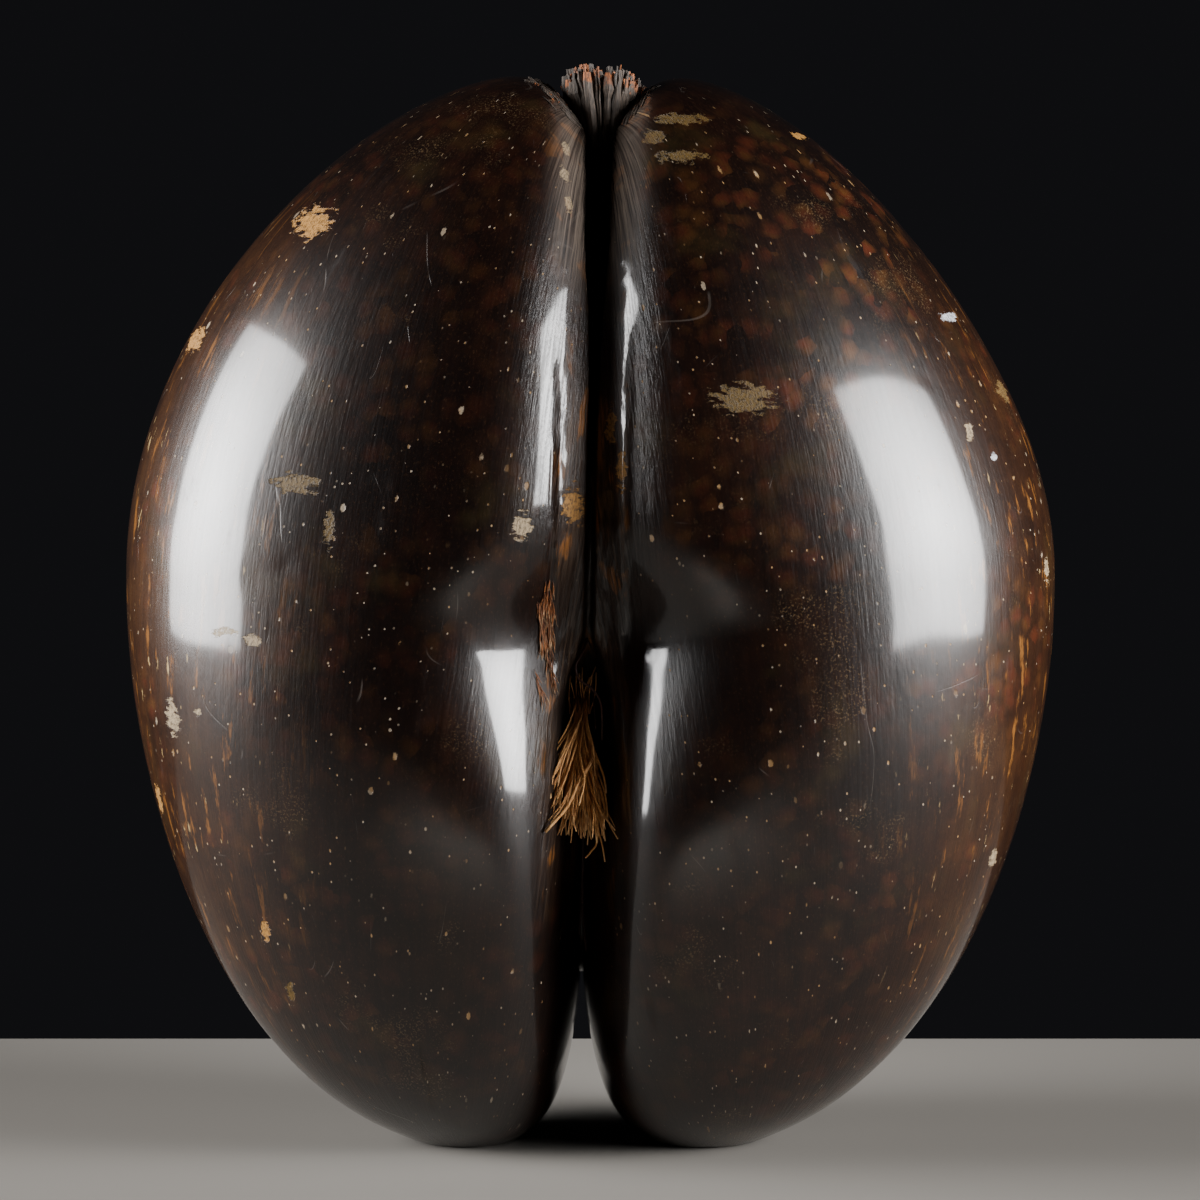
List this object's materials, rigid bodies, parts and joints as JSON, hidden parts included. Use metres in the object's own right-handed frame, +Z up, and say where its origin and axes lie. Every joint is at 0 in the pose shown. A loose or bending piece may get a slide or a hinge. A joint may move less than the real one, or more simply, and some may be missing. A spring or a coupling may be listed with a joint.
{
  "type": "coco de mer nut",
  "caption": "Polished two-lobed palm nut with a closed seam, a husk stump on top and a fibre tuft in the hollow between its lobes, standing on the lobes.",
  "frame": {"origin": "centre of the nut's outline on the surface that it stands on", "axes": "+Z up from the lobes to the husk stump; -Y out of the seamed front, where the tuft hangs; +X from the wider lobe to the narrower one"},
  "size_m": [0.2708, 0.1756, 0.3146],
  "materials": {
    "shell": "hard nut shell, polished to a deep gloss, black-brown with chestnut blotches and small pale flecks",
    "husk": "weathered husk, dry and matte, grey-brown with orange-brown broken fibre ends",
    "fibre": "dry golden-tan plant fibre, matte"
  },
  "bodies": {
    "root": {"nut_shell": "shell", "husk_stump": "husk", "fibre_tuft": "fibre"}
  },
  "joints": []
}
